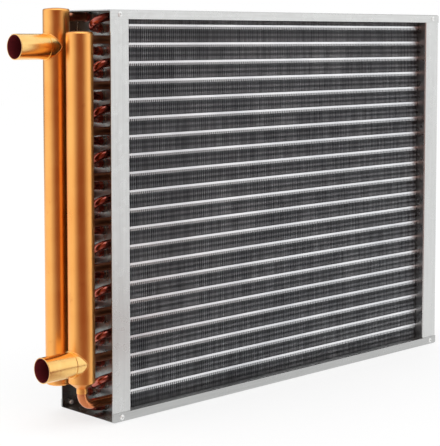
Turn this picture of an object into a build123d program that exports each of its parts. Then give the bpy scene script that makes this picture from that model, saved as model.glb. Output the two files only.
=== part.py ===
from build123d import *
import os

# Water-to-air heat exchanger: three staggered rows of copper tubes in aluminium fins, held in a
# galvanised sheet frame, with two copper headers at the left end.
# Millimetres. X runs along the fin face to the right, Y away from the front face, Z up.
# The origin is the centre of the underside of the bottom channel.

# Tubes and fins
tube_diameter = 9.52         # 3/8 in copper tube
tube_wall = 0.4
tube_pitch = 25.4            # 1 in between the tubes of a row
row_pitch = 22.0
tubes_per_row = 18
row_names = ("front", "middle", "rear")
first_tube = 0.25            # top tube of the outer rows, in pitches below the top of the fins
row_stagger = 0.5            # how much lower the middle row sits, in pitches
fin_length = 533.4           # 21 in between the two tube sheets
fin_gaps = 168               # 8 to the inch
fin_thickness = 0.25
fin_free_depth = 5.5         # how deep the fins stand free at each face, short of the first tubes

# Sheet frame
sheet = 1.2
bend_radius = 2.0            # outside of every fold
frame_depth = 95.0
side_flange = 27.0           # flanges of the tube sheets, turned outwards
channel_flange = 10.4        # flanges of the top and bottom channels, turned over the fins
corner_radius = 3.0
collar_height = 3.0          # drawn collar round each tube hole
collar_wall = 0.8
collar_root = 0.5            # flare where a collar rises from the sheet

# Brazed joints
braze_gap = 0.05
bell_depth = 3.0             # how far a bend or stub goes into the belled end of a tube
bell_stop = 0.5              # shoulder at the bottom of a bell
left_bend_reach = 7.0        # from the left tube sheet to where a return bend starts to turn
right_bend_reach = 3.1       # the same on the hairpin bends at the right end

# Headers and ports
header_diameter = 30.0
header_wall = 1.27
front_stand_off = 24.0       # header axes, left of the frame's edge
rear_stand_off = 22.0
front_header_top = 436.0
rear_header_top = 462.0
rear_header_bottom = 36.5
dome_corner = 2.4
dome_crown = 1.0
neck_bottom = 34.5
neck_top = 40.2
cone_top = 47.2
stub_inside = 2.2            # how far a stub reaches past the header's outer face
elbow_diameter = 11.1        # heavy elbow under the front header
elbow_turn = 14.0
neck_spigot_length = 5.0
port_diameter = 28.58        # 1 1/8 in copper tube
port_wall = 1.27
port_reach = 55.0            # from the front header's axis to the open mouths
upper_port_height = 418.8
lower_port_height = 69.1
mouth_chamfer = 0.3
port_flare = 0.6             # swelling of the tube just before it meets the header
port_flare_length = 1.5

# Blind rivets at the frame's corners
rivet_inset = 12.5
rivet_shank = 4.0
rivet_head = 6.2
rivet_head_height = 1.2
rivet_rim = 0.3              # straight edge of the head, under its dome
rivet_tail = 5.2
rivet_tail_length = 2.4
tail_bevel = 0.6
mandrel_hole = 1.8
rivet_gap = 0.05

# Sizes that follow from the ones above
tube_radius = tube_diameter / 2
tube_bore = tube_radius - tube_wall
bend_centre_radius = tube_pitch / 2
hole_radius = tube_radius + braze_gap
fin_height = tubes_per_row * tube_pitch
fin_depth = len(row_names) * row_pitch
frame_height = fin_height + 2 * sheet
frame_length = fin_length + 2 * side_flange
left_edge = -frame_length / 2
left_sheet_x = -fin_length / 2 - sheet           # outer face of the left tube sheet's web
right_sheet_x = fin_length / 2 + sheet
fin_top = frame_height - sheet
bell_shoulder_x = left_sheet_x - collar_height   # a bell's shoulder rests on its collar
bell_floor_x = bell_shoulder_x - bell_stop
bell_mouth_x = bell_floor_x - bell_depth
left_turn_x = left_sheet_x - left_bend_reach
right_turn_x = right_sheet_x + right_bend_reach
header_radius = header_diameter / 2
elbow_radius = elbow_diameter / 2
port_mouth_x = left_edge - front_stand_off - port_reach
port_radius = port_diameter / 2
neck_radius = hole_radius + header_wall


def row_y(row):
    return (row - 1) * row_pitch


def tube_z(row, index):
    """Height of a tube; the middle row sits half a pitch lower than the other two."""
    first = first_tube + (row_stagger if row == 1 else 0)
    return fin_top - (first + index) * tube_pitch


def tube_places():
    return [(row, index) for row in range(len(row_names)) for index in range(tubes_per_row)]


def header_x(row):
    """Axis of a row's header; the rear one stands a little nearer to the frame."""
    return left_edge - (front_stand_off if row == 0 else rear_stand_off)


def rod_x(radius, x_from, x_to, y, z):
    """A round bar along X."""
    face = Plane((x_from, y, z), z_dir=(1, 0, 0)) * Circle(radius)
    return extrude(face, x_to - x_from)


def straight_tube(begin, end, outer=tube_radius):
    """A straight stretch of copper tube between two points, with the bore of the circuit."""
    ring = Circle(outer) - Circle(tube_bore)
    return extrude(Plane(begin, z_dir=end - begin) * ring, (end - begin).length)


def bent_tube(begin, heading, centre, axle, angle, outer=tube_radius):
    """A round bend of copper tube that starts at begin and turns about an axle through centre."""
    ring = Circle(outer) - Circle(tube_bore)
    return revolve(Plane(begin, z_dir=heading) * ring, Axis(centre, axle), angle)


def u_tube(mouths, turns, side):
    """Two straight legs and the half circle between them, which bulges along X to the side given."""
    heading = Vector(side, 0, 0)
    centre = (turns[0] + turns[1]) / 2
    axle = heading.cross(turns[0] - centre)
    bend = bent_tube(turns[0], heading, centre, -axle, 180)
    legs = [straight_tube(mouth, turn) for mouth, turn in zip(mouths, turns)]
    return bend + legs


def channel_section(width, leg):
    """A folded U of sheet in the XY plane: the web on the X axis, the legs towards +Y."""
    outer = Rectangle(width, leg, align=(Align.CENTER, Align.MIN))
    outer = fillet(outer.vertices().group_by(Axis.Y)[0], bend_radius)
    inner = Pos(0, sheet) * Rectangle(width - 2 * sheet, leg, align=(Align.CENTER, Align.MIN))
    inner = fillet(inner.vertices().group_by(Axis.Y)[0], bend_radius - sheet)
    return outer - inner


def fin_pack():
    """The stack of fins. Each fin stands free at both faces; round the tubes the collars of
    neighbouring fins meet, so there the stack is closed and only the tube holes go through."""
    step = (fin_length - fin_thickness) / fin_gaps
    face_y = fin_depth / 2
    root_y = face_y - fin_free_depth
    start = -fin_length / 2
    outline = []
    for fin in range(fin_gaps + 1):
        x = start + fin * step
        outline += [(x, face_y), (x + fin_thickness, face_y)]
        if fin < fin_gaps:
            outline += [(x + fin_thickness, root_y), (x + step, root_y)]
    outline += [(x, -y) for x, y in reversed(outline)]
    comb = make_face(Polyline(*outline, close=True))
    stack = extrude(Pos(0, 0, sheet) * comb, fin_height)
    holes = [rod_x(hole_radius, start, -start, row_y(r), tube_z(r, i)) for r, i in tube_places()]
    return stack - holes


def corner_places():
    """Rivet places as (x, z) at the four corners of a face."""
    x = frame_length / 2 - rivet_inset
    z = channel_flange / 2
    return [(sx * x, height) for sx in (-1, 1) for height in (z, frame_height - z)]


def rivet_holes():
    bar = Rot(90, 0, 0) * Cylinder(rivet_shank / 2 + rivet_gap, 2 * frame_depth)
    return [Pos(x, 0, z) * bar for x, z in corner_places()]


def tube_sheet(side):
    """An end plate: the web is drilled and drawn into collars for the tubes, and its long edges
    are folded outwards. side is -1 at the left end and 1 at the right."""
    web_face = side * (fin_length / 2)
    section = channel_section(frame_depth - 2 * sheet, side_flange)
    section = Rot(0, 0, -side * 90) * section
    plate = extrude(Pos(web_face, 0, sheet) * section, fin_height)
    # the plate's corners are rounded to nest in the inside folds of the two channels
    nest = RectangleRounded(frame_depth - 2 * sheet, fin_height, bend_radius - sheet)
    plate = plate & extrude(Plane.YZ * Pos(0, frame_height / 2) * nest, frame_length, both=True)
    outer_face = web_face + side * sheet
    wide = hole_radius + collar_wall
    upright = (Align.CENTER, Align.CENTER, Align.MIN)
    flare = Rot(0, side * 90, 0) * Cone(wide + collar_root, wide, collar_root, align=upright)
    collars = []
    for row, index in tube_places():
        y, z = row_y(row), tube_z(row, index)
        collars.append(rod_x(wide, outer_face, outer_face + side * collar_height, y, z))
        collars.append(Pos(outer_face, y, z) * flare)
    holes = [
        rod_x(hole_radius, web_face, outer_face + side * collar_height, row_y(r), tube_z(r, i))
        for r, i in tube_places()
    ]
    return plate + collars - holes - rivet_holes()


def frame_channel(top):
    """The top or bottom of the frame: a wide web with two short flanges lapped over the fins."""
    section = Rot(0, 0, 90) * channel_section(frame_depth, channel_flange)
    section = Plane((-frame_length / 2, 0, 0), x_dir=(0, 0, -1), z_dir=(1, 0, 0)) * section
    channel = extrude(section, frame_length)
    if top:
        channel = Pos(0, 0, frame_height) * Rot(180, 0, 0) * channel
    face = RectangleRounded(frame_length, frame_height, corner_radius)
    rounded = extrude(Plane.XZ * Pos(0, frame_height / 2) * face, frame_depth, both=True)
    return (channel & rounded) - rivet_holes()


def ball_arc(rim, crown):
    """Arc between two points, each (radius, height), on a ball whose centre lies on the axis."""
    squares = crown[0] ** 2 + crown[1] ** 2 - rim[0] ** 2 - rim[1] ** 2
    centre = squares / (2 * (crown[1] - rim[1]))
    ball = (rim[0] ** 2 + (rim[1] - centre) ** 2) ** 0.5
    middle = (rim[0] + crown[0]) / 2
    return ThreePointArc(rim, (middle, centre + (ball ** 2 - middle ** 2) ** 0.5), crown)


def rivet():
    """A blind rivet along -Y: domed head with the mandrel's hole, shank and rolled tail, with the
    underside of its head at the origin."""
    head, shank, tail, hole = rivet_head / 2, rivet_shank / 2, rivet_tail / 2, mandrel_hole / 2
    grip = -2 * sheet
    end = grip - rivet_tail_length
    dome = ball_arc((head, rivet_rim), (hole, rivet_head_height))
    rest = Polyline(
        (hole, rivet_head_height),
        (hole, 0),
        (0, 0),
        (0, end),
        (shank, end),
        (tail, end + tail_bevel),
        (tail, grip - tail_bevel),
        (shank, grip),
        (shank, 0),
        (head, 0),
        (head, rivet_rim),
    )
    return revolve(make_face(Wire(dome.edges() + rest.edges())), Axis.Y)


def frame_rivets():
    """Eight rivets, four in each face."""
    one = rivet()
    front = [Pos(x, -frame_depth / 2, z) * Rot(0, 0, 180) * one for x, z in corner_places()]
    back = [Pos(x, frame_depth / 2, z) * one for x, z in corner_places()]
    return Compound(children=[solid for part in front + back for solid in part.solids()])


def bell(y, z):
    """The widened left end of a tube, with the shoulder that a bend's leg stops against."""
    outer = rod_x(hole_radius + tube_wall, bell_mouth_x, bell_shoulder_x, y, z)
    socket = rod_x(hole_radius, bell_mouth_x, bell_floor_x, y, z)
    bore = rod_x(tube_bore, bell_floor_x, bell_shoulder_x, y, z)
    return outer - socket - bore


def hairpin(row, pair):
    """One long tube bent back on itself at the right end, open and belled at the left end."""
    y = row_y(row)
    heights = [tube_z(row, 2 * pair), tube_z(row, 2 * pair + 1)]
    mouths = [Vector(bell_shoulder_x, y, z) for z in heights]
    turns = [Vector(right_turn_x, y, z) for z in heights]
    return u_tube(mouths, turns, 1) + [bell(y, z) for z in heights]


def return_bend(front_row, index):
    """A short U that joins a tube to its neighbour in the next row, aslant across the rows."""
    ends = [(row_y(row), tube_z(row, index)) for row in (front_row, front_row + 1)]
    mouths = [Vector(bell_floor_x, y, z) for y, z in ends]
    turns = [Vector(left_turn_x, y, z) for y, z in ends]
    return u_tube(mouths, turns, -1)


def stub_heights(row):
    """Tubes of a row that are fed from the header: the lower of each pair in front, the upper at
    the rear."""
    first = 1 if row == 0 else 0
    return [tube_z(row, 2 * circuit + first) for circuit in range(tubes_per_row // 2)]


def stubs(row, heights):
    """Straight stubs from the belled tubes into the header."""
    begin_x = header_x(row) + header_radius - stub_inside
    group = []
    for z in heights:
        begin = Vector(begin_x, row_y(row), z)
        end = Vector(bell_floor_x, row_y(row), z)
        group += straight_tube(begin, end).solids()
    return Compound(children=group)


def bottom_elbow():
    """The lowest feed of the front header: a heavy elbow with a thinner spigot at each end, one
    up in the header's neck and one in the bell of the last tube."""
    x, y, z = header_x(0), row_y(0), tube_z(0, tubes_per_row - 1)
    bend_top = Vector(x, y, z + elbow_turn)
    bend_end = Vector(x + elbow_turn, y, z)
    centre = Vector(x + elbow_turn, y, z + elbow_turn)
    neck_mouth = Vector(x, y, neck_bottom)
    bell_mouth = Vector(bell_mouth_x, y, z)
    bend = bent_tube(bend_top, Vector(0, 0, -1), centre, Vector(0, -1, 0), 90, elbow_radius)
    upright = straight_tube(neck_mouth, bend_top, elbow_radius)
    level = straight_tube(bend_end, bell_mouth, elbow_radius)
    neck_spigot = straight_tube(neck_mouth, neck_mouth + Vector(0, 0, neck_spigot_length))
    bell_spigot = straight_tube(bell_mouth, Vector(bell_floor_x, y, z))
    return bend + upright + level + neck_spigot + bell_spigot


def dome_lines(radius, high):
    """Half outline of a header's spun-shut end, from the side wall over the crown to the axis.
    The crown is part of a ball centred on the axis; below it the wall turns in with a corner."""
    shoulder = radius - dome_corner
    flat = high - dome_crown
    diagonal = dome_corner * 0.5 ** 0.5
    turn = flat - dome_corner
    corner = ThreePointArc((radius, turn), (shoulder + diagonal, turn + diagonal), (shoulder, flat))
    crown = ball_arc((shoulder, flat), (0, high))
    return corner + crown


def header_body(radius, low, high, necked, neck):
    """A closed round body: spun shut in a low dome at the top, and at the bottom either spun shut
    too or drawn down through a cone to a neck."""
    wall_top = high - dome_crown - dome_corner
    if necked:
        neck_corner = (neck, neck_top)
        foot = Polyline((0, low), (neck, low), neck_corner, (radius, cone_top), (radius, wall_top))
    else:
        dome = dome_lines(radius, -low).mirror(Plane.XZ)
        foot = dome + Line((radius, low + dome_crown + dome_corner), (radius, wall_top))
    axis = Line((0, high), (0, low))
    outline = Wire(foot.edges() + dome_lines(radius, high).edges() + axis.edges())
    return revolve(Plane.XZ * make_face(outline), Axis.Z)


def header(row, low, high, necked, stub_z, port_z):
    """A header shell with a hole for each stub and a wide one under its port."""
    x, y = header_x(row), row_y(row)
    inner_low = low if necked else low + header_wall
    inner_high = high - header_wall
    shell = header_body(header_radius, low, high, necked, neck_radius)
    inside = header_body(header_radius - header_wall, inner_low, inner_high, necked, hole_radius)
    holes = [rod_x(hole_radius, x, x + header_radius, y, z) for z in stub_z]
    holes.append(rod_x(port_radius - port_wall, x - header_radius, x, y, port_z))
    return Pos(x, y) * (shell - inside) - holes


def port(row, z):
    """A connection tube, swollen a little at its foot and coped to sit on the round of its header."""
    x, y = header_x(row), row_y(row)
    flare_x = x - header_radius - port_flare_length
    tube = rod_x(port_radius, port_mouth_x, x, y, z)
    rim = tube.faces().sort_by(Axis.X)[0].edges()
    tube = chamfer(rim, mouth_chamfer) + rod_x(port_radius + port_flare, flare_x, x, y, z)
    bore = rod_x(port_radius - port_wall, port_mouth_x, x, y, z)
    saddle = Pos(x, y, z) * Cylinder(header_radius, 2 * port_diameter)
    return tube - bore - saddle


def build_nodes():
    # the lowest feed of the front row goes through the elbow, the others through stubs
    front_feeds, rear_feeds = stub_heights(0)[:-1], stub_heights(2)
    front_ends = (neck_bottom, front_header_top)
    rear_ends = (rear_header_bottom, rear_header_top)
    nodes = {
        "fin_pack": fin_pack(),
        "left_tube_sheet": tube_sheet(-1),
        "right_tube_sheet": tube_sheet(1),
        "top_channel": frame_channel(True),
        "bottom_channel": frame_channel(False),
        "frame_rivets": frame_rivets(),
        "front_header": header(0, *front_ends, True, front_feeds, lower_port_height),
        "rear_header": header(2, *rear_ends, False, rear_feeds, upper_port_height),
        "front_stubs": stubs(0, front_feeds),
        "rear_stubs": stubs(2, rear_feeds),
        "bottom_elbow": bottom_elbow(),
        "lower_port": port(0, lower_port_height),
        "upper_port": port(2, upper_port_height),
    }
    for pair in range(tubes_per_row // 2):
        for row, name in enumerate(row_names):
            nodes[f"hairpin_{name}_{pair + 1}"] = hairpin(row, pair)
        nodes[f"return_bend_front_{pair + 1}"] = return_bend(0, 2 * pair)
        nodes[f"return_bend_rear_{pair + 1}"] = return_bend(1, 2 * pair + 1)
    return nodes


os.makedirs("parts", exist_ok=True)
for node_name, shape in build_nodes().items():
    export_step(shape, f"parts/{node_name}.step")
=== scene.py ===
import math
import bpy
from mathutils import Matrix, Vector


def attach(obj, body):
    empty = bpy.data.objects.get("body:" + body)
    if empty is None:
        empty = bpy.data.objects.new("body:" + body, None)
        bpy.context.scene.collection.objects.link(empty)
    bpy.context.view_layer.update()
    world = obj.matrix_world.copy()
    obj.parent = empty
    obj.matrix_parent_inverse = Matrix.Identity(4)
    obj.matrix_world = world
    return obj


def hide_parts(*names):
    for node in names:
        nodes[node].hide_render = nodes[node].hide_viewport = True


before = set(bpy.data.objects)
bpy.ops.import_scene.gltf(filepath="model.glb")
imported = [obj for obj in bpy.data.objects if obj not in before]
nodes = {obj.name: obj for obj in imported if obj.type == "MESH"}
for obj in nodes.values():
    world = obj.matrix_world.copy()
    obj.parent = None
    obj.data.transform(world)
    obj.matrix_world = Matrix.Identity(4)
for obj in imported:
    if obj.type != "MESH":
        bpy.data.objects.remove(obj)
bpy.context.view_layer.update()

scene = bpy.context.scene
print("frame loaded:", len(nodes), "nodes")


# camera, fitted to the frame's corners in the photo
view = {
    "place": (-1.2563, -1.2087, 0.4295),
    "headingDegrees": 44.16,
    "downDegrees": 4.025,
    "lens": 111.06,
    "sensorWidth": 36,
    "shiftY": -0.2,
    "nearest": 0.01,
    "farthest": 50,
}


def makeCamera():
    data = bpy.data.cameras.new("photoCamera")
    data.lens = view["lens"]
    data.sensor_width = view["sensorWidth"]
    data.shift_y = view["shiftY"]
    data.clip_start = view["nearest"]
    data.clip_end = view["farthest"]
    camera = bpy.data.objects.new("photoCamera", data)
    camera.location = view["place"]
    tilt, turn = math.radians(90 - view["downDegrees"]), math.radians(-view["headingDegrees"])
    camera.rotation_euler = (tilt, 0, turn)
    scene.collection.objects.link(camera)
    scene.camera = camera


makeCamera()
scene.view_settings.view_transform = "Standard"
print("camera placed")


# small helpers for node trees
def srgb(red, green, blue):
    # 0-255 screen values to the linear numbers that sockets take
    out = []
    for value in (red, green, blue):
        v = value / 255
        out.append(v / 12.92 if v <= 0.04045 else ((v + 0.055) / 1.055) ** 2.4)
    return (*out, 1)


def newMaterial(name):
    material = bpy.data.materials.new(name)
    material.use_nodes = True
    tree = material.node_tree
    return material, tree, tree.nodes["Principled BSDF"]


def objectPlace(tree, scale):
    # object coordinates, stretched by scale on each axis
    coordinate = tree.nodes.new("ShaderNodeTexCoord")
    mapping = tree.nodes.new("ShaderNodeMapping")
    mapping.inputs["Scale"].default_value = scale
    tree.links.new(coordinate.outputs["Object"], mapping.inputs["Vector"])
    return mapping.outputs["Vector"]


def noise(tree, vector, scale, detail=4.0, roughness=0.55):
    node = tree.nodes.new("ShaderNodeTexNoise")
    node.inputs["Scale"].default_value = scale
    node.inputs["Detail"].default_value = detail
    node.inputs["Roughness"].default_value = roughness
    tree.links.new(vector, node.inputs["Vector"])
    return node.outputs["Fac"]


def ramp(tree, factor, stops):
    node = tree.nodes.new("ShaderNodeValToRGB")
    elements = node.color_ramp.elements
    while len(elements) < len(stops):
        elements.new(0.5)
    for element, (place, colour) in zip(elements, stops):
        element.position = place
        element.color = colour
    tree.links.new(factor, node.inputs["Fac"])
    return node.outputs["Color"]


def spread(tree, factor, fromLow, fromHigh, toLow, toHigh):
    node = tree.nodes.new("ShaderNodeMapRange")
    titles = ("From Min", "From Max", "To Min", "To Max")
    for title, value in zip(titles, (fromLow, fromHigh, toLow, toHigh)):
        node.inputs[title].default_value = value
    tree.links.new(factor, node.inputs["Value"])
    return node.outputs["Result"]


def mixColours(tree, factor, first, second, mode="MIX"):
    node = tree.nodes.new("ShaderNodeMix")
    node.data_type = "RGBA"
    node.blend_type = mode
    sockets = {s.name: s for s in node.inputs if s.type == "RGBA"}
    for socket, value in ((sockets["A"], first), (sockets["B"], second)):
        if hasattr(value, "is_linked"):
            tree.links.new(value, socket)
        else:
            socket.default_value = value
    factorSocket = node.inputs[0]
    if hasattr(factor, "is_linked"):
        tree.links.new(factor, factorSocket)
    else:
        factorSocket.default_value = factor
    return [s for s in node.outputs if s.type == "RGBA"][0]


def fromMiddle(tree, place, axis):
    # distance from the coil's middle plane on one axis
    split = tree.nodes.new("ShaderNodeSeparateXYZ")
    tree.links.new(place, split.inputs[0])
    size = tree.nodes.new("ShaderNodeMath")
    size.operation = "ABSOLUTE"
    tree.links.new(split.outputs[axis], size.inputs[0])
    return size.outputs[0]


def bump(tree, height, shader, strength, distance):
    node = tree.nodes.new("ShaderNodeBump")
    node.inputs["Strength"].default_value = strength
    node.inputs["Distance"].default_value = distance
    tree.links.new(height, node.inputs["Height"])
    tree.links.new(node.outputs["Normal"], shader.inputs["Normal"])


# the stage: pale floor, white surround, soft lamps, and dark cards that only reflections see
stage = {
    "floorColour": srgb(255, 255, 255),
    "floorSize": 12.0,
    "floorDrop": 0.0004,
    "floorOwnWhite": 0.7,
    "surroundForEye": 1.0,
    "surroundForLight": 1.0,
    "lamps": [
        # name, place, aimed at, width, height, power
        ("leftLamp", (-2.1, 1.5, 1.1), (-0.1, 0, 0.2), 1.6, 2.0, 2),
        ("rightLamp", (1.8, -1.9, 1.1), (-0.1, 0, 0.2), 1.6, 2.0, 1.5),
        ("topLamp", (-0.3, -0.5, 2.6), (0, 0, 0.2), 2.2, 2.2, 13),
    ],
    "cards": [
        # name, heading of its middle and half its width in degrees round the coil, colour of its middle,
        # how far in that colour starts as a share of the width, its profile as distances and heights
        ("frontCard", 231, 62, (0.26, 0.1, 0.065), 0.34, [(0.31, 0.003), (2.6, 0.003), (2.6, 2.0)]),
        ("backCard", 46, 72, (0.16, 0.15, 0.15), 0.24, [(2.6, 0.003), (2.6, 2.0)]),
    ],
    "cardSteps": 16,
}


def lightPathForEye(tree):
    # 1 where the camera, a reflection or a see-through surface looks at the surround
    path = tree.nodes.new("ShaderNodeLightPath")
    eye = path.outputs["Is Camera Ray"]
    for name in ("Is Glossy Ray", "Is Transmission Ray"):
        either = tree.nodes.new("ShaderNodeMath")
        either.operation = "MAXIMUM"
        tree.links.new(eye, either.inputs[0])
        tree.links.new(path.outputs[name], either.inputs[1])
        eye = either.outputs[0]
    return eye


def makeFloor():
    half = stage["floorSize"] / 2
    corners = [(-half, -half, 0), (half, -half, 0), (half, half, 0), (-half, half, 0)]
    mesh = bpy.data.meshes.new("floor")
    mesh.from_pydata(corners, [], [(0, 1, 2, 3)])
    floor = bpy.data.objects.new("floor", mesh)
    floor.location.z = -stage["floorDrop"]
    scene.collection.objects.link(floor)
    material, tree, shader = newMaterial("paleFloor")
    tree.nodes.remove(shader)
    matt = tree.nodes.new("ShaderNodeBsdfDiffuse")
    matt.inputs["Color"].default_value = stage["floorColour"]
    white = tree.nodes.new("ShaderNodeEmission")
    blend = tree.nodes.new("ShaderNodeMixShader")
    tree.links.new(spread(tree, lightPathForEye(tree), 0, 1, 0, stage["floorOwnWhite"]), blend.inputs[0])
    tree.links.new(matt.outputs[0], blend.inputs[1])
    tree.links.new(white.outputs[0], blend.inputs[2])
    tree.links.new(blend.outputs[0], tree.nodes["Material Output"].inputs["Surface"])
    mesh.materials.append(material)


def makeSurround():
    world = bpy.data.worlds.new("surround")
    world.use_nodes = True
    scene.world = world
    tree = world.node_tree
    background = tree.nodes["Background"]
    background.inputs["Color"].default_value = (1, 1, 1, 1)
    strength = spread(tree, lightPathForEye(tree), 0, 1, stage["surroundForLight"], stage["surroundForEye"])
    tree.links.new(strength, background.inputs["Strength"])


def makeLamps():
    for name, place, target, width, height, power in stage["lamps"]:
        data = bpy.data.lights.new(name, "AREA")
        data.shape = "RECTANGLE"
        data.size, data.size_y = width, height
        data.energy = power
        lamp = bpy.data.objects.new(name, data)
        lamp.location = place
        lamp.rotation_euler = (Vector(target) - Vector(place)).to_track_quat("-Z", "Y").to_euler()
        scene.collection.objects.link(lamp)


def makeCards():
    steps = stage["cardSteps"]
    for name, heading, halfWidth, colour, inset, profile in stage["cards"]:
        points, faces, across = [], [], len(profile)
        for step in range(steps + 1):
            angle = math.radians(heading - halfWidth + 2 * halfWidth * step / steps)
            points += [(away * math.cos(angle), away * math.sin(angle), height) for away, height in profile]
            for i in range(across - 1):
                if step:
                    corner = step * across + i
                    faces.append((corner - across, corner, corner + 1, corner - across + 1))
        mesh = bpy.data.meshes.new(name)
        mesh.from_pydata(points, [], faces)
        material, tree, shader = newMaterial(name)
        shader.inputs["Base Color"].default_value = (0, 0, 0, 1)
        shader.inputs["Specular IOR Level"].default_value = 0
        shader.inputs["Emission Strength"].default_value = 1
        # dark in the middle and fading to the surround's white at its two upright edges
        around = tree.nodes.new("ShaderNodeTexGradient")
        around.gradient_type = "RADIAL"
        tree.links.new(objectPlace(tree, (1, 1, 1)), around.inputs["Vector"])
        middle, half = ((heading + 180) % 360) / 360, halfWidth / 360
        share = spread(tree, around.outputs["Fac"], middle - half, middle + half, 0, 1)
        dark = (*colour, 1)
        between = (*[(1 + part) / 2 for part in colour], 1)
        fade = ramp(tree, share, [
            (0, (1, 1, 1, 1)), (inset / 2, between), (inset, dark),
            (1 - inset, dark), (1 - inset / 2, between), (1, (1, 1, 1, 1)),
        ])
        tree.links.new(fade, shader.inputs["Emission Color"])
        mesh.materials.append(material)
        card = bpy.data.objects.new(name, mesh)
        scene.collection.objects.link(card)
        card.visible_camera = False
        card.visible_diffuse = False
        card.visible_shadow = False
        card.visible_transmission = False
        card.visible_volume_scatter = False


makeFloor()
makeSurround()
makeLamps()
makeCards()
print("stage set")


# sizes of the coil that several pieces share, as in the solids
coil = {
    "finEnd": 0.2667,
    "finTop": 0.4584,
    "tubePitch": 0.0254,
    # x and y of each header's axis, and the heights of the ports
    "frontHeader": (-0.3177, -0.022),
    "rearHeader": (-0.3157, 0.022),
    "lowerPort": 0.0691,
    "upperPort": 0.4188,
}

# copper: drawn grain along the tube, faint heat tint and handling stains
copper = {
    # bright metal, deep metal, stain, roughness
    "header": (srgb(255, 186, 104), srgb(248, 172, 92), srgb(214, 124, 62), 0.29),
    "port": (srgb(255, 212, 136), srgb(246, 186, 106), srgb(210, 132, 64), 0.2),
    "bend": (srgb(200, 120, 106), srgb(158, 84, 74), srgb(96, 42, 36), 0.2),
    "elbow": (srgb(228, 148, 98), srgb(206, 116, 72), srgb(150, 70, 46), 0.2),
    "stub": (srgb(204, 140, 106), srgb(164, 104, 76), srgb(84, 48, 36), 0.3),
    "roughRange": (-0.03, 0.07),
    "roughClouds": (0.3, 0.7),
    "boreColour": srgb(104, 34, 38),
    # distance from a port's axis where the bore's colour ends
    "boreEdge": (0.01335, 0.0136),
    # a hairpin's colour between the tube sheets, and the distances from the middle where it gives way
    "collarColour": srgb(176, 178, 180),
    "collarEnd": (0.2664, coil["finEnd"]),
    "cloudScale": 18,
    "cloudRange": (0.35, 0.62),
    "spotStretch": (1.3, 1.1, 0.7),
    "spotScale": 70,
    "spotRange": (0.6, 0.76),
    "spotAmount": 0.5,
    "grainScale": 900,
    "bumpStrength": 0.1,
    "bumpDepth": 0.0002,
}


def copperMaterial(name, kind, grain, boreAxis=None):
    # grain: how the drawn marks are stretched, long along the tube; boreAxis: y and z of a port's axis
    bright, deep, stain, rough = copper[kind]
    material, tree, shader = newMaterial(name)
    shader.inputs["Metallic"].default_value = 1.0
    place = objectPlace(tree, (1, 1, 1))
    clouds = noise(tree, place, copper["cloudScale"], 5)
    body = ramp(tree, clouds, list(zip(copper["cloudRange"], (deep, bright))))
    spots = noise(tree, objectPlace(tree, copper["spotStretch"]), copper["spotScale"], 6, 0.7)
    mask = spread(tree, spots, *copper["spotRange"], 0, copper["spotAmount"])
    body = mixColours(tree, mask, body, stain)
    smoothest, roughest = [rough + part for part in copper["roughRange"]]
    roughness = spread(tree, clouds, *copper["roughClouds"], smoothest, roughest)
    if boreAxis:
        # the inside of a port is dark with oxide
        offset = tree.nodes.new("ShaderNodeVectorMath")
        offset.operation = "MULTIPLY_ADD"
        tree.links.new(place, offset.inputs[0])
        offset.inputs[1].default_value = (0, 1, 1)
        offset.inputs[2].default_value = (0, -boreAxis[0], -boreAxis[1])
        away = tree.nodes.new("ShaderNodeVectorMath")
        away.operation = "LENGTH"
        tree.links.new(offset.outputs[0], away.inputs[0])
        inside = spread(tree, away.outputs["Value"], *copper["boreEdge"], 1, 0)
        body = mixColours(tree, inside, body, copper["boreColour"])
        tree.links.new(spread(tree, inside, 0, 1, 1, 0), shader.inputs["Metallic"])
    if kind == "bend":
        # a hairpin is covered by the fins' aluminium collars from one tube sheet to the other
        collared = spread(tree, fromMiddle(tree, place, "X"), *copper["collarEnd"], 1, 0)
        body = mixColours(tree, collared, body, copper["collarColour"])
    tree.links.new(body, shader.inputs["Base Color"])
    tree.links.new(roughness, shader.inputs["Roughness"])
    lines = noise(tree, objectPlace(tree, grain), copper["grainScale"], 2)
    bump(tree, lines, shader, copper["bumpStrength"], copper["bumpDepth"])
    return material


uprightGrain = (1, 1, 0.04)
levelGrain = (0.04, 1, 1)
lowerAxis = (coil["frontHeader"][1], coil["lowerPort"])
upperAxis = (coil["rearHeader"][1], coil["upperPort"])
copperLooks = {
    "header": copperMaterial("headerCopper", "header", uprightGrain),
    "lowerPort": copperMaterial("lowerPortCopper", "port", levelGrain, lowerAxis),
    "upperPort": copperMaterial("upperPortCopper", "port", levelGrain, upperAxis),
    "bend": copperMaterial("bendCopper", "bend", levelGrain),
    "elbow": copperMaterial("elbowCopper", "elbow", levelGrain),
    "stub": copperMaterial("stubCopper", "stub", levelGrain),
}
print("copper mixed")


# zinc-coated sheet: soft spangle, faint rolling streaks and a few dull smudges
zinc = {
    "pale": srgb(211, 212, 211),
    "dull": srgb(203, 204, 203),
    "smudge": srgb(180, 180, 178),
    # painted shade for the recess inside the left tube sheet
    "recessShade": srgb(150, 155, 154),
    # distance from the coil's middle plane where the painted recess shade ends
    "recessShadeEdge": (0.0455, 0.0460),
    "rough": 0.3,
    "roughRange": (-0.04, 0.05),
    "bottomTone": 0.78,
    "rivetTone": 1.3,
    "rivetMetallic": 0.5,
    "spangleScale": 160,
    "streakScale": 420,
    "streakRange": (0.3, 0.6),
    "smudgeScale": 9,
    "smudgeRange": (0.58, 0.85),
    "smudgeAmount": 0.3,
    "bumpStrength": 0.04,
    "bumpDepth": 0.0001,
}


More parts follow.
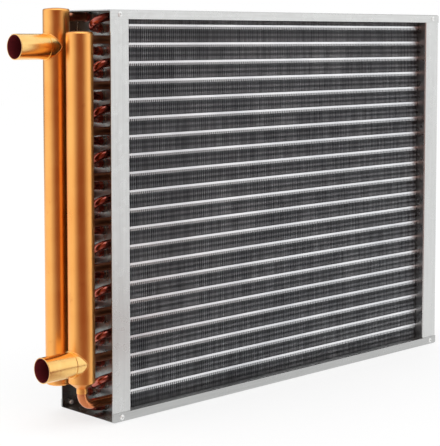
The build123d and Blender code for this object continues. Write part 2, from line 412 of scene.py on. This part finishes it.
def zincMaterial(name, streaks, tone=1.0, recessShaded=False):
    # tone: a factor on the sheet's colour, below 1 darker and above 1 paler; the last argument paints
    # shade, a darker grey, on the inside of the left tube sheet
    material, tree, shader = newMaterial(name)
    shader.inputs["Metallic"].default_value = 1.0
    place = objectPlace(tree, (1, 1, 1))
    cells = tree.nodes.new("ShaderNodeTexVoronoi")
    cells.inputs["Scale"].default_value = zinc["spangleScale"]
    tree.links.new(place, cells.inputs["Vector"])
    spangle = tree.nodes.new("ShaderNodeSeparateColor")
    tree.links.new(cells.outputs["Color"], spangle.inputs["Color"])
    lines = noise(tree, objectPlace(tree, streaks), zinc["streakScale"], 3)
    clouds = noise(tree, place, zinc["smudgeScale"], 5)
    body = ramp(tree, lines, list(zip(zinc["streakRange"], (zinc["dull"], zinc["pale"]))))
    mask = spread(tree, clouds, *zinc["smudgeRange"], 0, zinc["smudgeAmount"])
    body = mixColours(tree, mask, body, zinc["smudge"])
    body = mixColours(tree, 1.0, body, (tone, tone, tone, 1), "MULTIPLY")
    # painted shade: a darker grey in the recess inside the left tube sheet, between its two flanges
    if recessShaded:
        inside = spread(tree, fromMiddle(tree, place, "Y"), *zinc["recessShadeEdge"], 1, 0)
        body = mixColours(tree, inside, body, zinc["recessShade"])
    tree.links.new(body, shader.inputs["Base Color"])
    smoothest, roughest = [zinc["rough"] + part for part in zinc["roughRange"]]
    rough = spread(tree, spangle.outputs["Red"], 0, 1, smoothest, roughest)
    tree.links.new(rough, shader.inputs["Roughness"])
    bump(tree, lines, shader, zinc["bumpStrength"], zinc["bumpDepth"])
    return material


uprightStreaks = (1, 1, 0.03)
levelStreaks = (0.03, 1, 1)
zincUpright = zincMaterial("zincUpright", uprightStreaks)
zincLevel = zincMaterial("zincLevel", levelStreaks)
# the left tube sheet, with painted shade in its recess
zincRecessShaded = zincMaterial("zincRecessShaded", uprightStreaks, recessShaded=True)
zincBottom = zincMaterial("zincBottom", levelStreaks, tone=zinc["bottomTone"])
rivetLook = zincMaterial("rivetSteel", (1, 1, 1), tone=zinc["rivetTone"])
rivetLook.node_tree.nodes["Principled BSDF"].inputs["Metallic"].default_value = zinc["rivetMetallic"]
print("zinc mixed")

nodeLooks = {
    "front_header": copperLooks["header"],
    "rear_header": copperLooks["header"],
    "lower_port": copperLooks["lowerPort"],
    "upper_port": copperLooks["upperPort"],
    "bottom_elbow": copperLooks["elbow"],
    "front_stubs": copperLooks["stub"],
    "rear_stubs": copperLooks["stub"],
    "left_tube_sheet": zincRecessShaded,
    "right_tube_sheet": zincUpright,
    "top_channel": zincLevel,
    "bottom_channel": zincBottom,
    "frame_rivets": rivetLook,
}
for name, node in nodes.items():
    look = nodeLooks.get(name)
    if look is None and name.startswith(("hairpin", "return_bend")):
        look = copperLooks["bend"]
    if look is None:
        continue
    node.data.materials.clear()
    node.data.materials.append(look)
print("looks given to the CAD nodes")


# braze beads where the ports and stubs run into the headers
brazes = {
    "headerRadius": 0.015,
    "portRadius": 0.0147,
    "portBead": 0.0009,
    "stubRadius": 0.0049,
    "stubBead": 0.0006,
    "ringSteps": 40,
    "beadSteps": 8,
    "series": [
        # name, header, height of the highest bead, side of the header, how many; a row's highest stub is
        # a quarter of a pitch under the fins' top, or one and a quarter, and the others two pitches apart
        ("lowerPortBraze", "frontHeader", coil["lowerPort"], -1, 1),
        ("upperPortBraze", "rearHeader", coil["upperPort"], -1, 1),
        ("frontStubBrazes", "frontHeader", coil["finTop"] - 1.25 * coil["tubePitch"], 1, 8),
        ("rearStubBrazes", "rearHeader", coil["finTop"] - 0.25 * coil["tubePitch"], 1, 9),
    ],
}


def newTree(name, inputs):
    # a geometry tree with its one output and its named inputs
    tree = bpy.data.node_groups.new(name, "GeometryNodeTree")
    tree.interface.new_socket(name="Geometry", in_out="OUTPUT", socket_type="NodeSocketGeometry")
    identifiers = {}
    for title, kind in inputs:
        socket = tree.interface.new_socket(name=title, in_out="INPUT", socket_type="NodeSocket" + kind)
        identifiers[title] = socket.identifier
    return tree, identifiers


def connect(tree, socket, value):
    if hasattr(value, "is_linked"):
        tree.links.new(value, socket)
    else:
        socket.default_value = value


def calculate(tree, operation, first, second=0.0):
    node = tree.nodes.new("ShaderNodeMath")
    node.operation = operation
    connect(tree, node.inputs[0], first)
    connect(tree, node.inputs[1], second)
    return node.outputs[0]


def vector(tree, x=0.0, y=0.0, z=0.0):
    node = tree.nodes.new("ShaderNodeCombineXYZ")
    for socket, value in zip(node.inputs, (x, y, z)):
        connect(tree, socket, value)
    return node.outputs[0]


def finishTree(tree, geometry, material):
    # ends a tree: instances made real, and the material set
    realize = tree.nodes.new("GeometryNodeRealizeInstances")
    tree.links.new(geometry, realize.inputs[0])
    paint = tree.nodes.new("GeometryNodeSetMaterial")
    paint.inputs["Material"].default_value = material
    tree.links.new(realize.outputs[0], paint.inputs["Geometry"])
    out = tree.nodes.new("NodeGroupOutput")
    tree.links.new(paint.outputs[0], out.inputs[0])


def bakeTree(name, tree, identifiers, values):
    # runs a node tree on an empty mesh and keeps what it makes as a plain mesh
    carrier = bpy.data.objects.new(name + "Carrier", bpy.data.meshes.new(name + "Carrier"))
    scene.collection.objects.link(carrier)
    modifier = carrier.modifiers.new("nodes", "NODES")
    modifier.node_group = tree
    for key, value in values.items():
        modifier[identifiers[key]] = value
    bpy.context.view_layer.update()
    evaluated = carrier.evaluated_get(bpy.context.evaluated_depsgraph_get())
    mesh = bpy.data.meshes.new_from_object(evaluated)
    mesh.name = name
    carrier.modifiers.remove(modifier)
    bpy.data.objects.remove(carrier)
    piece = bpy.data.objects.new(name, mesh)
    scene.collection.objects.link(piece)
    return piece


def brazeTree(material):
    tree, identifiers = newTree("brazeBeads", [
        ("Header Radius", "Float"), ("Branch Radius", "Float"), ("Bead Radius", "Float"),
        ("Side", "Float"), ("Centre", "Vector"), ("Count", "Int"), ("Step", "Float"),
    ])
    entry = tree.nodes.new("NodeGroupInput").outputs
    ring = tree.nodes.new("GeometryNodeCurvePrimitiveCircle")
    ring.inputs["Resolution"].default_value = brazes["ringSteps"]
    ring.inputs["Radius"].default_value = 1.0
    position = tree.nodes.new("GeometryNodeInputPosition")
    split = tree.nodes.new("ShaderNodeSeparateXYZ")
    tree.links.new(position.outputs[0], split.inputs[0])
    # the ring follows the line where the branch meets the round of the header
    y = calculate(tree, "MULTIPLY", split.outputs["X"], entry["Branch Radius"])
    z = calculate(tree, "MULTIPLY", split.outputs["Y"], entry["Branch Radius"])
    headerSquare = calculate(tree, "POWER", entry["Header Radius"], 2.0)
    squares = calculate(tree, "SUBTRACT", headerSquare, calculate(tree, "MULTIPLY", y, y))
    x = calculate(tree, "MULTIPLY", calculate(tree, "SQRT", squares), entry["Side"])
    bent = tree.nodes.new("GeometryNodeSetPosition")
    tree.links.new(ring.outputs["Curve"], bent.inputs["Geometry"])
    tree.links.new(vector(tree, x, y, z), bent.inputs["Position"])
    profile = tree.nodes.new("GeometryNodeCurvePrimitiveCircle")
    profile.inputs["Resolution"].default_value = brazes["beadSteps"]
    tree.links.new(entry["Bead Radius"], profile.inputs["Radius"])
    sweep = tree.nodes.new("GeometryNodeCurveToMesh")
    tree.links.new(bent.outputs[0], sweep.inputs["Curve"])
    tree.links.new(profile.outputs["Curve"], sweep.inputs["Profile Curve"])
    smooth = tree.nodes.new("GeometryNodeSetShadeSmooth")
    tree.links.new(sweep.outputs["Mesh"], smooth.inputs["Geometry"])
    places = tree.nodes.new("GeometryNodeMeshLine")
    tree.links.new(entry["Count"], places.inputs["Count"])
    tree.links.new(entry["Centre"], places.inputs["Start Location"])
    tree.links.new(vector(tree, z=entry["Step"]), places.inputs["Offset"])
    beads = tree.nodes.new("GeometryNodeInstanceOnPoints")
    tree.links.new(places.outputs[0], beads.inputs["Points"])
    tree.links.new(smooth.outputs["Geometry"], beads.inputs["Instance"])
    finishTree(tree, beads.outputs[0], material)
    return tree, identifiers


def makeBrazes():
    tree, identifiers = brazeTree(copperLooks["header"])
    for name, header, height, side, count in brazes["series"]:
        branch = "port" if count == 1 else "stub"
        piece = bakeTree(name, tree, identifiers, {
            "Header Radius": brazes["headerRadius"], "Branch Radius": brazes[branch + "Radius"],
            "Bead Radius": brazes[branch + "Bead"], "Side": float(side),
            "Centre": (*coil[header], height), "Count": count, "Step": -2 * coil["tubePitch"],
        })
        print(name, len(piece.data.polygons), "faces")
        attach(piece, "root")


makeBrazes()
print("braze beads laid")


# fins: thin flat sheets whose long edges are turned over in a lip once every wave; the lips of neighbouring
# fins almost meet and read as a slat across the face, and the fins' colour paints that slat bright and the
# face between the slats in shade
fins = {
    "finCount": 169,
    # just clear of the two channels
    "bottom": 0.0013,
    "top": 0.4583,
    "depth": 0.066,
    "thickness": 0.00025,
    "wavePitch": 0.02072,
    "waveStart": 0.0034,
    "waveCount": 22,
    "lipReach": 0.00275,
    "lipDepth": 0.0003,
    # how far a fin may stand out of its place, and the seed for it
    "jitter": 0.00004,
    "seed": 7,
    # rows of one wave from its bottom: where each is, as a share of the wave, and how far its lip is out
    "rowPlaces": [0.0, 0.012, 0.13, 0.15, 0.25, 0.265],
    "rowLips": [0.0, 0.44, 0.54, 1.0, 1.0, 0.0],
    # painted light: the slat's painted highlight, its lower part in painted shade, the face in painted
    # shade with paler painted lines
    "colours": {
        "slat": srgb(246, 247, 248),
        "slatLow": srgb(206, 207, 208),
        "face": srgb(190, 192, 195),
        "middle": srgb(222, 224, 226),
        "line": srgb(241, 243, 245),
    },
    "roughs": {"slat": 0.36, "face": 0.38, "line": 0.62},
    # painted light across one wave, from its bottom, in shares of the wave: a painted highlight on the
    # slat, painted shade on its lower part and on the face between, and paler painted lines on that face
    "paintedLightStops": [
        (0.0, "slatLow"), (0.13, "slatLow"), (0.15, "slat"), (0.265, "slat"), (0.275, "middle"),
        (0.36, "line"), (0.45, "line"), (0.50, "face"), (0.60, "face"), (0.65, "line"), (0.73, "line"),
        (0.78, "face"), (0.88, "face"), (0.93, "middle"),
    ],
    "roughStops": [
        (0.0, "slat"), (0.265, "slat"), (0.275, "face"), (0.36, "line"), (0.45, "line"),
        (0.50, "face"), (0.60, "face"), (0.65, "line"), (0.73, "line"), (0.78, "face"),
    ],
    "faceStart": (0.265, 0.275),
    # noise: large clouds, one shade for each fin, and fine rolling lines
    "cloudScale": 14,
    "cloudRange": (0.3, 0.7),
    "cloudShade": srgb(225, 226, 228),
    "eachStretch": (1, 1, 0.06),
    "eachScale": 190,
    "eachRange": (0.38, 0.6),
    "eachShade": srgb(190, 191, 193),
    "eachAmount": 0.6,
    "lineStretch": (1, 1, 0.05),
    "lineScale": 600,
    "bumpStrength": 0.06,
    "bumpDepth": 0.0001,
    "unshaded": srgb(255, 255, 255),
}


def finMaterial():
    material, tree, shader = newMaterial("finAluminium")
    shader.inputs["Metallic"].default_value = 1.0
    place = objectPlace(tree, (1, 1, 1))
    split = tree.nodes.new("ShaderNodeSeparateXYZ")
    tree.links.new(place, split.inputs[0])
    along = spread(tree, split.outputs["Z"], fins["waveStart"], fins["waveStart"] + fins["wavePitch"], 0, 1)
    along.node.clamp = False
    wave = tree.nodes.new("ShaderNodeMath")
    wave.operation = "FRACT"
    tree.links.new(along, wave.inputs[0])
    phase = wave.outputs[0]
    # the colour by the wave's phase paints the slats' highlight and the shade below and between them
    body = ramp(tree, phase, [(stop, fins["colours"][part]) for stop, part in fins["paintedLightStops"]])
    clouds = noise(tree, place, fins["cloudScale"], 4)
    shade = ramp(tree, clouds, list(zip(fins["cloudRange"], (fins["cloudShade"], fins["unshaded"]))))
    body = mixColours(tree, 1.0, body, shade, "MULTIPLY")
    # between the slats, each fin a little lighter or darker than the next
    each = noise(tree, objectPlace(tree, fins["eachStretch"]), fins["eachScale"], 1)
    shade = ramp(tree, each, list(zip(fins["eachRange"], (fins["eachShade"], fins["unshaded"]))))
    onFace = spread(tree, phase, *fins["faceStart"], 0, fins["eachAmount"])
    tree.links.new(mixColours(tree, onFace, body, shade, "MULTIPLY"), shader.inputs["Base Color"])
    greys = {part: (rough, rough, rough, 1) for part, rough in fins["roughs"].items()}
    rough = ramp(tree, phase, [(stop, greys[part]) for stop, part in fins["roughStops"]])
    tree.links.new(rough, shader.inputs["Roughness"])
    lines = noise(tree, objectPlace(tree, fins["lineStretch"]), fins["lineScale"], 2)
    bump(tree, lines, shader, fins["bumpStrength"], fins["bumpDepth"])
    return material


def finTree(material):
    tree, identifiers = newTree("lippedFins", [
        ("First Fin", "Float"), ("Fin Step", "Float"), ("Fin Count", "Int"), ("Bottom", "Float"),
        ("Top", "Float"), ("Depth", "Float"), ("Thickness", "Float"), ("Wave Pitch", "Float"),
        ("Wave Start", "Float"), ("Wave Count", "Int"), ("Lip Reach", "Float"), ("Lip Depth", "Float"),
        ("Jitter", "Float"), ("Seed", "Int"),
    ])
    entry = tree.nodes.new("NodeGroupInput").outputs
    rowsPerWave = float(len(fins["rowPlaces"]))

    def table(factor, values):
        # a curve that goes straight from one to the next of evenly placed values
        node = tree.nodes.new("ShaderNodeFloatCurve")
        curve = node.mapping.curves[0]
        places = [i / (len(values) - 1) for i in range(len(values))]
        for place in places[1:-1]:
            curve.points.new(place, 0.5)
        for point, place, value in zip(curve.points, places, values):
            point.location = (place, value)
            point.handle_type = "VECTOR"
        node.mapping.update()
        tree.links.new(factor, node.inputs["Value"])
        return node.outputs[0]

    # a block of unit cells, one cell thick, three deep and one row of corners per row of the fin
    rows = calculate(tree, "ADD", calculate(tree, "MULTIPLY", entry["Wave Count"], rowsPerWave), 2.0)
    lastRow = calculate(tree, "SUBTRACT", rows, 1.0)
    block = tree.nodes.new("GeometryNodeMeshCube")
    tree.links.new(vector(tree, 1.0, 3.0, lastRow), block.inputs["Size"])
    block.inputs["Vertices X"].default_value = 2
    block.inputs["Vertices Y"].default_value = 4
    tree.links.new(rows, block.inputs["Vertices Z"])
    position = tree.nodes.new("GeometryNodeInputPosition")
    split = tree.nodes.new("ShaderNodeSeparateXYZ")
    tree.links.new(position.outputs[0], split.inputs[0])
    # rows to heights: a plain row below the first wave and one above the last, the others in the waves
    halfOfRows = calculate(tree, "DIVIDE", lastRow, 2.0)
    row = calculate(tree, "ROUND", calculate(tree, "ADD", split.outputs["Z"], halfOfRows))
    waveRow = calculate(tree, "SUBTRACT", row, 1.0)
    wave = calculate(tree, "DIVIDE", calculate(tree, "ADD", waveRow, 0.5), rowsPerWave)
    wave = calculate(tree, "FLOOR", wave)
    rowInWave = calculate(tree, "SUBTRACT", waveRow, calculate(tree, "MULTIPLY", wave, rowsPerWave))
    place = calculate(tree, "DIVIDE", rowInWave, rowsPerWave - 1.0)
    share = calculate(tree, "ADD", wave, table(place, fins["rowPlaces"]))
    height = calculate(tree, "MULTIPLY", share, entry["Wave Pitch"])
    height = calculate(tree, "ADD", entry["Wave Start"], height)
    height = calculate(tree, "MAXIMUM", height, entry["Bottom"])
    height = calculate(tree, "MINIMUM", height, entry["Top"])
    # across the depth: the outer corners are the lips, and lean over to the right
    atEdge = calculate(tree, "GREATER_THAN", calculate(tree, "ABSOLUTE", split.outputs["Y"]), 1.0)
    inset = calculate(tree, "MULTIPLY", calculate(tree, "SUBTRACT", 1.0, atEdge), entry["Lip Depth"])
    halfDepth = calculate(tree, "SUBTRACT", calculate(tree, "DIVIDE", entry["Depth"], 2.0), inset)
    across = calculate(tree, "MULTIPLY", calculate(tree, "SIGN", split.outputs["Y"]), halfDepth)
    lean = calculate(tree, "MULTIPLY", table(place, fins["rowLips"]), atEdge)
    lean = calculate(tree, "MULTIPLY", lean, entry["Lip Reach"])
    side = calculate(tree, "MULTIPLY", split.outputs["X"], entry["Thickness"])
    side = calculate(tree, "ADD", side, lean)
    shape = tree.nodes.new("GeometryNodeSetPosition")
    tree.links.new(block.outputs["Mesh"], shape.inputs["Geometry"])
    tree.links.new(vector(tree, side, across, height), shape.inputs["Position"])
    # the stack of fins, each a hair out of place
    places = tree.nodes.new("GeometryNodeMeshLine")
    tree.links.new(entry["Fin Count"], places.inputs["Count"])
    tree.links.new(vector(tree, x=entry["First Fin"]), places.inputs["Start Location"])
    tree.links.new(vector(tree, x=entry["Fin Step"]), places.inputs["Offset"])
    jitter = tree.nodes.new("FunctionNodeRandomValue")
    jitter.data_type = "FLOAT"
    least, most = [socket for socket in jitter.inputs if socket.type == "VALUE"][:2]
    connect(tree, least, calculate(tree, "MULTIPLY", entry["Jitter"], -1.0))
    connect(tree, most, entry["Jitter"])
    tree.links.new(entry["Seed"], jitter.inputs["Seed"])
    nudge = [socket for socket in jitter.outputs if socket.type == "VALUE"][0]
    nudged = tree.nodes.new("GeometryNodeSetPosition")
    tree.links.new(places.outputs[0], nudged.inputs["Geometry"])
    tree.links.new(vector(tree, x=nudge), nudged.inputs["Offset"])
    stack = tree.nodes.new("GeometryNodeInstanceOnPoints")
    tree.links.new(nudged.outputs[0], stack.inputs["Points"])
    tree.links.new(shape.outputs[0], stack.inputs["Instance"])
    finishTree(tree, stack.outputs[0], material)
    return tree, identifiers


def makeFins():
    tree, identifiers = finTree(finMaterial())
    first = fins["thickness"] - coil["finEnd"]
    last = coil["finEnd"] - fins["lipReach"] - fins["thickness"]
    step = (last - first) / (fins["finCount"] - 1)
    leftCount = fins["finCount"] // 2
    halves = [
        ("finsLeft", first, leftCount),
        ("finsRight", first + leftCount * step, fins["finCount"] - leftCount),
    ]
    for name, start, count in halves:
        piece = bakeTree(name, tree, identifiers, {
            "First Fin": start, "Fin Step": step, "Fin Count": count, "Bottom": fins["bottom"],
            "Top": fins["top"], "Depth": fins["depth"], "Thickness": fins["thickness"],
            "Wave Pitch": fins["wavePitch"], "Wave Start": fins["waveStart"],
            "Wave Count": fins["waveCount"], "Lip Reach": fins["lipReach"],
            "Lip Depth": fins["lipDepth"], "Jitter": fins["jitter"], "Seed": fins["seed"],
        })
        print(name, len(piece.data.polygons), "faces")
        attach(piece, "root")
        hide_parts("fin_pack")


makeFins()
print("fins stacked")
